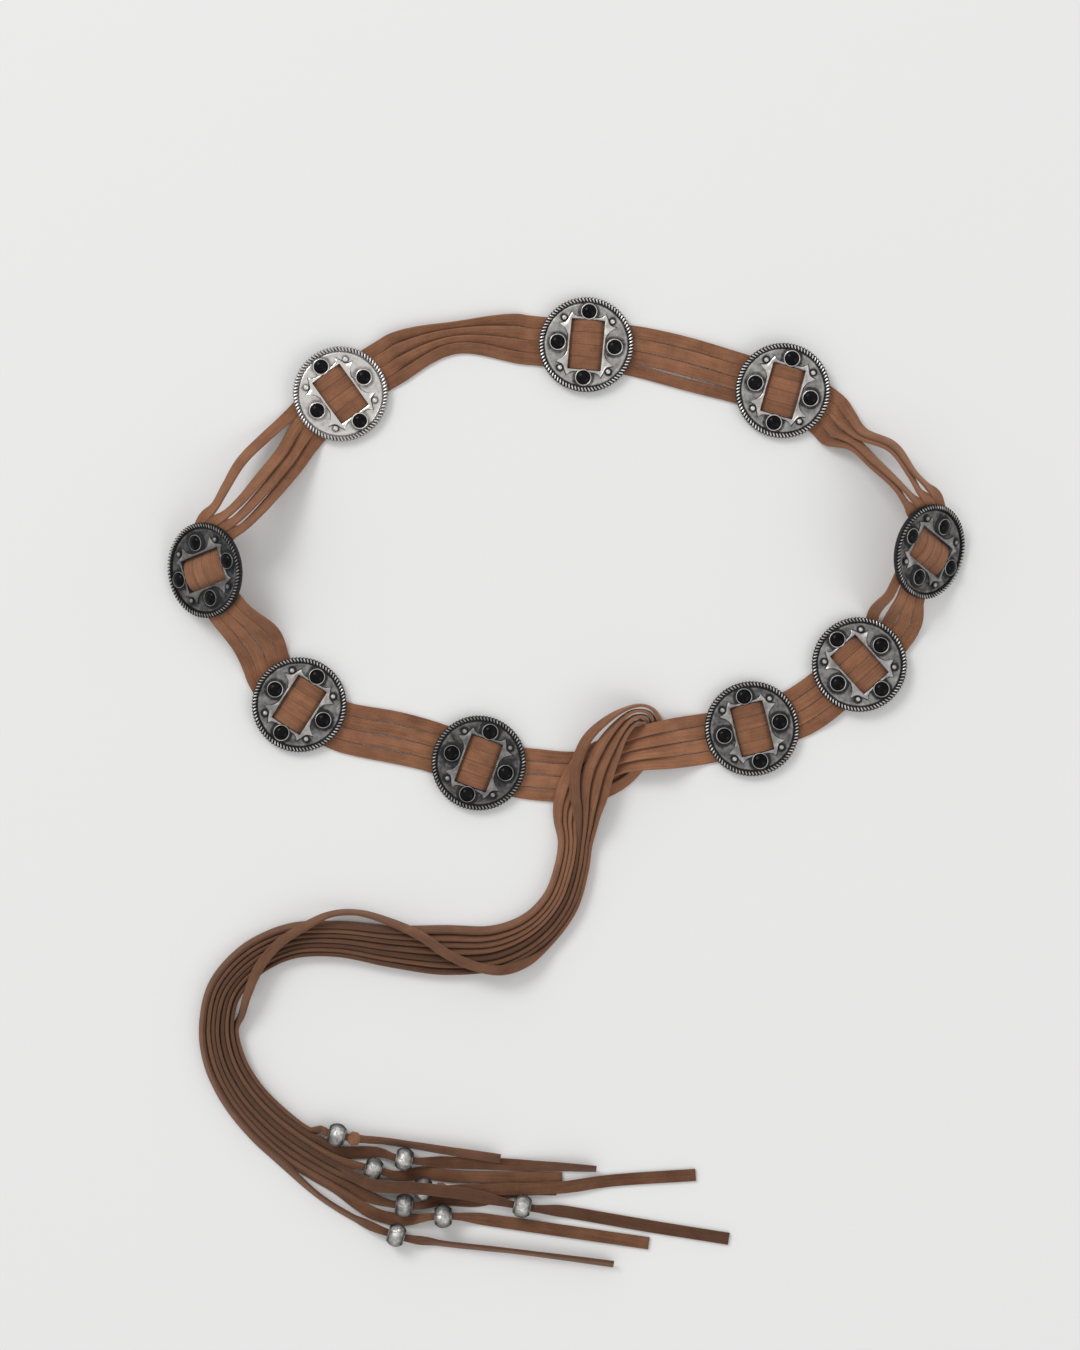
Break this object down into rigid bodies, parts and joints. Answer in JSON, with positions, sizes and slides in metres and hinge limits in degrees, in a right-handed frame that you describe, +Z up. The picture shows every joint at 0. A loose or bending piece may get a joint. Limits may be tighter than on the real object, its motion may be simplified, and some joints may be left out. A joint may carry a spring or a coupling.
{
  "type": "tie belt with round conchos",
  "caption": "Tie belt of suede laces run through round silver-tone conchos set with black stones, loosely tied, with beaded lace tails, lying flat.",
  "frame": {"origin": "On the surface that the belt lies on, under the middle of its outline.", "axes": "+Z up from the surface, +Y from the tails towards the far side of the waist loop, +X to the right when seen from above."},
  "size_m": [0.3482, 0.4252, 0.0288],
  "materials": {
    "aged_silver": "antique silver plate, dark in the recesses",
    "bead_silver": "tarnished silver plate, lightly ribbed",
    "black_stone": "polished, glossy",
    "suede_1": "suede, matt nap",
    "suede_2": "suede, matt nap",
    "suede_3": "suede, matt nap",
    "suede_4": "suede, matt nap"
  },
  "bodies": {
    "root": {"concho_1": "aged_silver", "stone_1_a": "black_stone", "stone_1_b": "black_stone", "stone_1_c": "black_stone", "stone_1_d": "black_stone", "concho_2": "aged_silver", "stone_2_a": "black_stone", "stone_2_b": "black_stone", "stone_2_c": "black_stone", "stone_2_d": "black_stone", "concho_3": "aged_silver", "stone_3_a": "black_stone", "stone_3_b": "black_stone", "stone_3_c": "black_stone", "stone_3_d": "black_stone", "concho_4": "aged_silver", "stone_4_a": "black_stone", "stone_4_b": "black_stone", "stone_4_c": "black_stone", "stone_4_d": "black_stone", "concho_5": "aged_silver", "stone_5_a": "black_stone", "stone_5_b": "black_stone", "stone_5_c": "black_stone", "stone_5_d": "black_stone", "concho_6": "aged_silver", "stone_6_a": "black_stone", "stone_6_b": "black_stone", "stone_6_c": "black_stone", "stone_6_d": "black_stone", "concho_7": "aged_silver", "stone_7_a": "black_stone", "stone_7_b": "black_stone", "stone_7_c": "black_stone", "stone_7_d": "black_stone", "concho_8": "aged_silver", "stone_8_a": "black_stone", "stone_8_b": "black_stone", "stone_8_c": "black_stone", "stone_8_d": "black_stone", "concho_9": "aged_silver", "stone_9_a": "black_stone", "stone_9_b": "black_stone", "stone_9_c": "black_stone", "stone_9_d": "black_stone", "lace_1": "suede_1", "lace_2": "suede_2", "lace_3": "suede_3", "lace_4": "suede_4", "bead_a": "bead_silver", "bead_b": "bead_silver", "bead_c": "bead_silver", "bead_h": "bead_silver", "bead_d": "bead_silver", "bead_e": "bead_silver", "bead_f": "bead_silver", "bead_g": "bead_silver"}
  },
  "joints": []
}
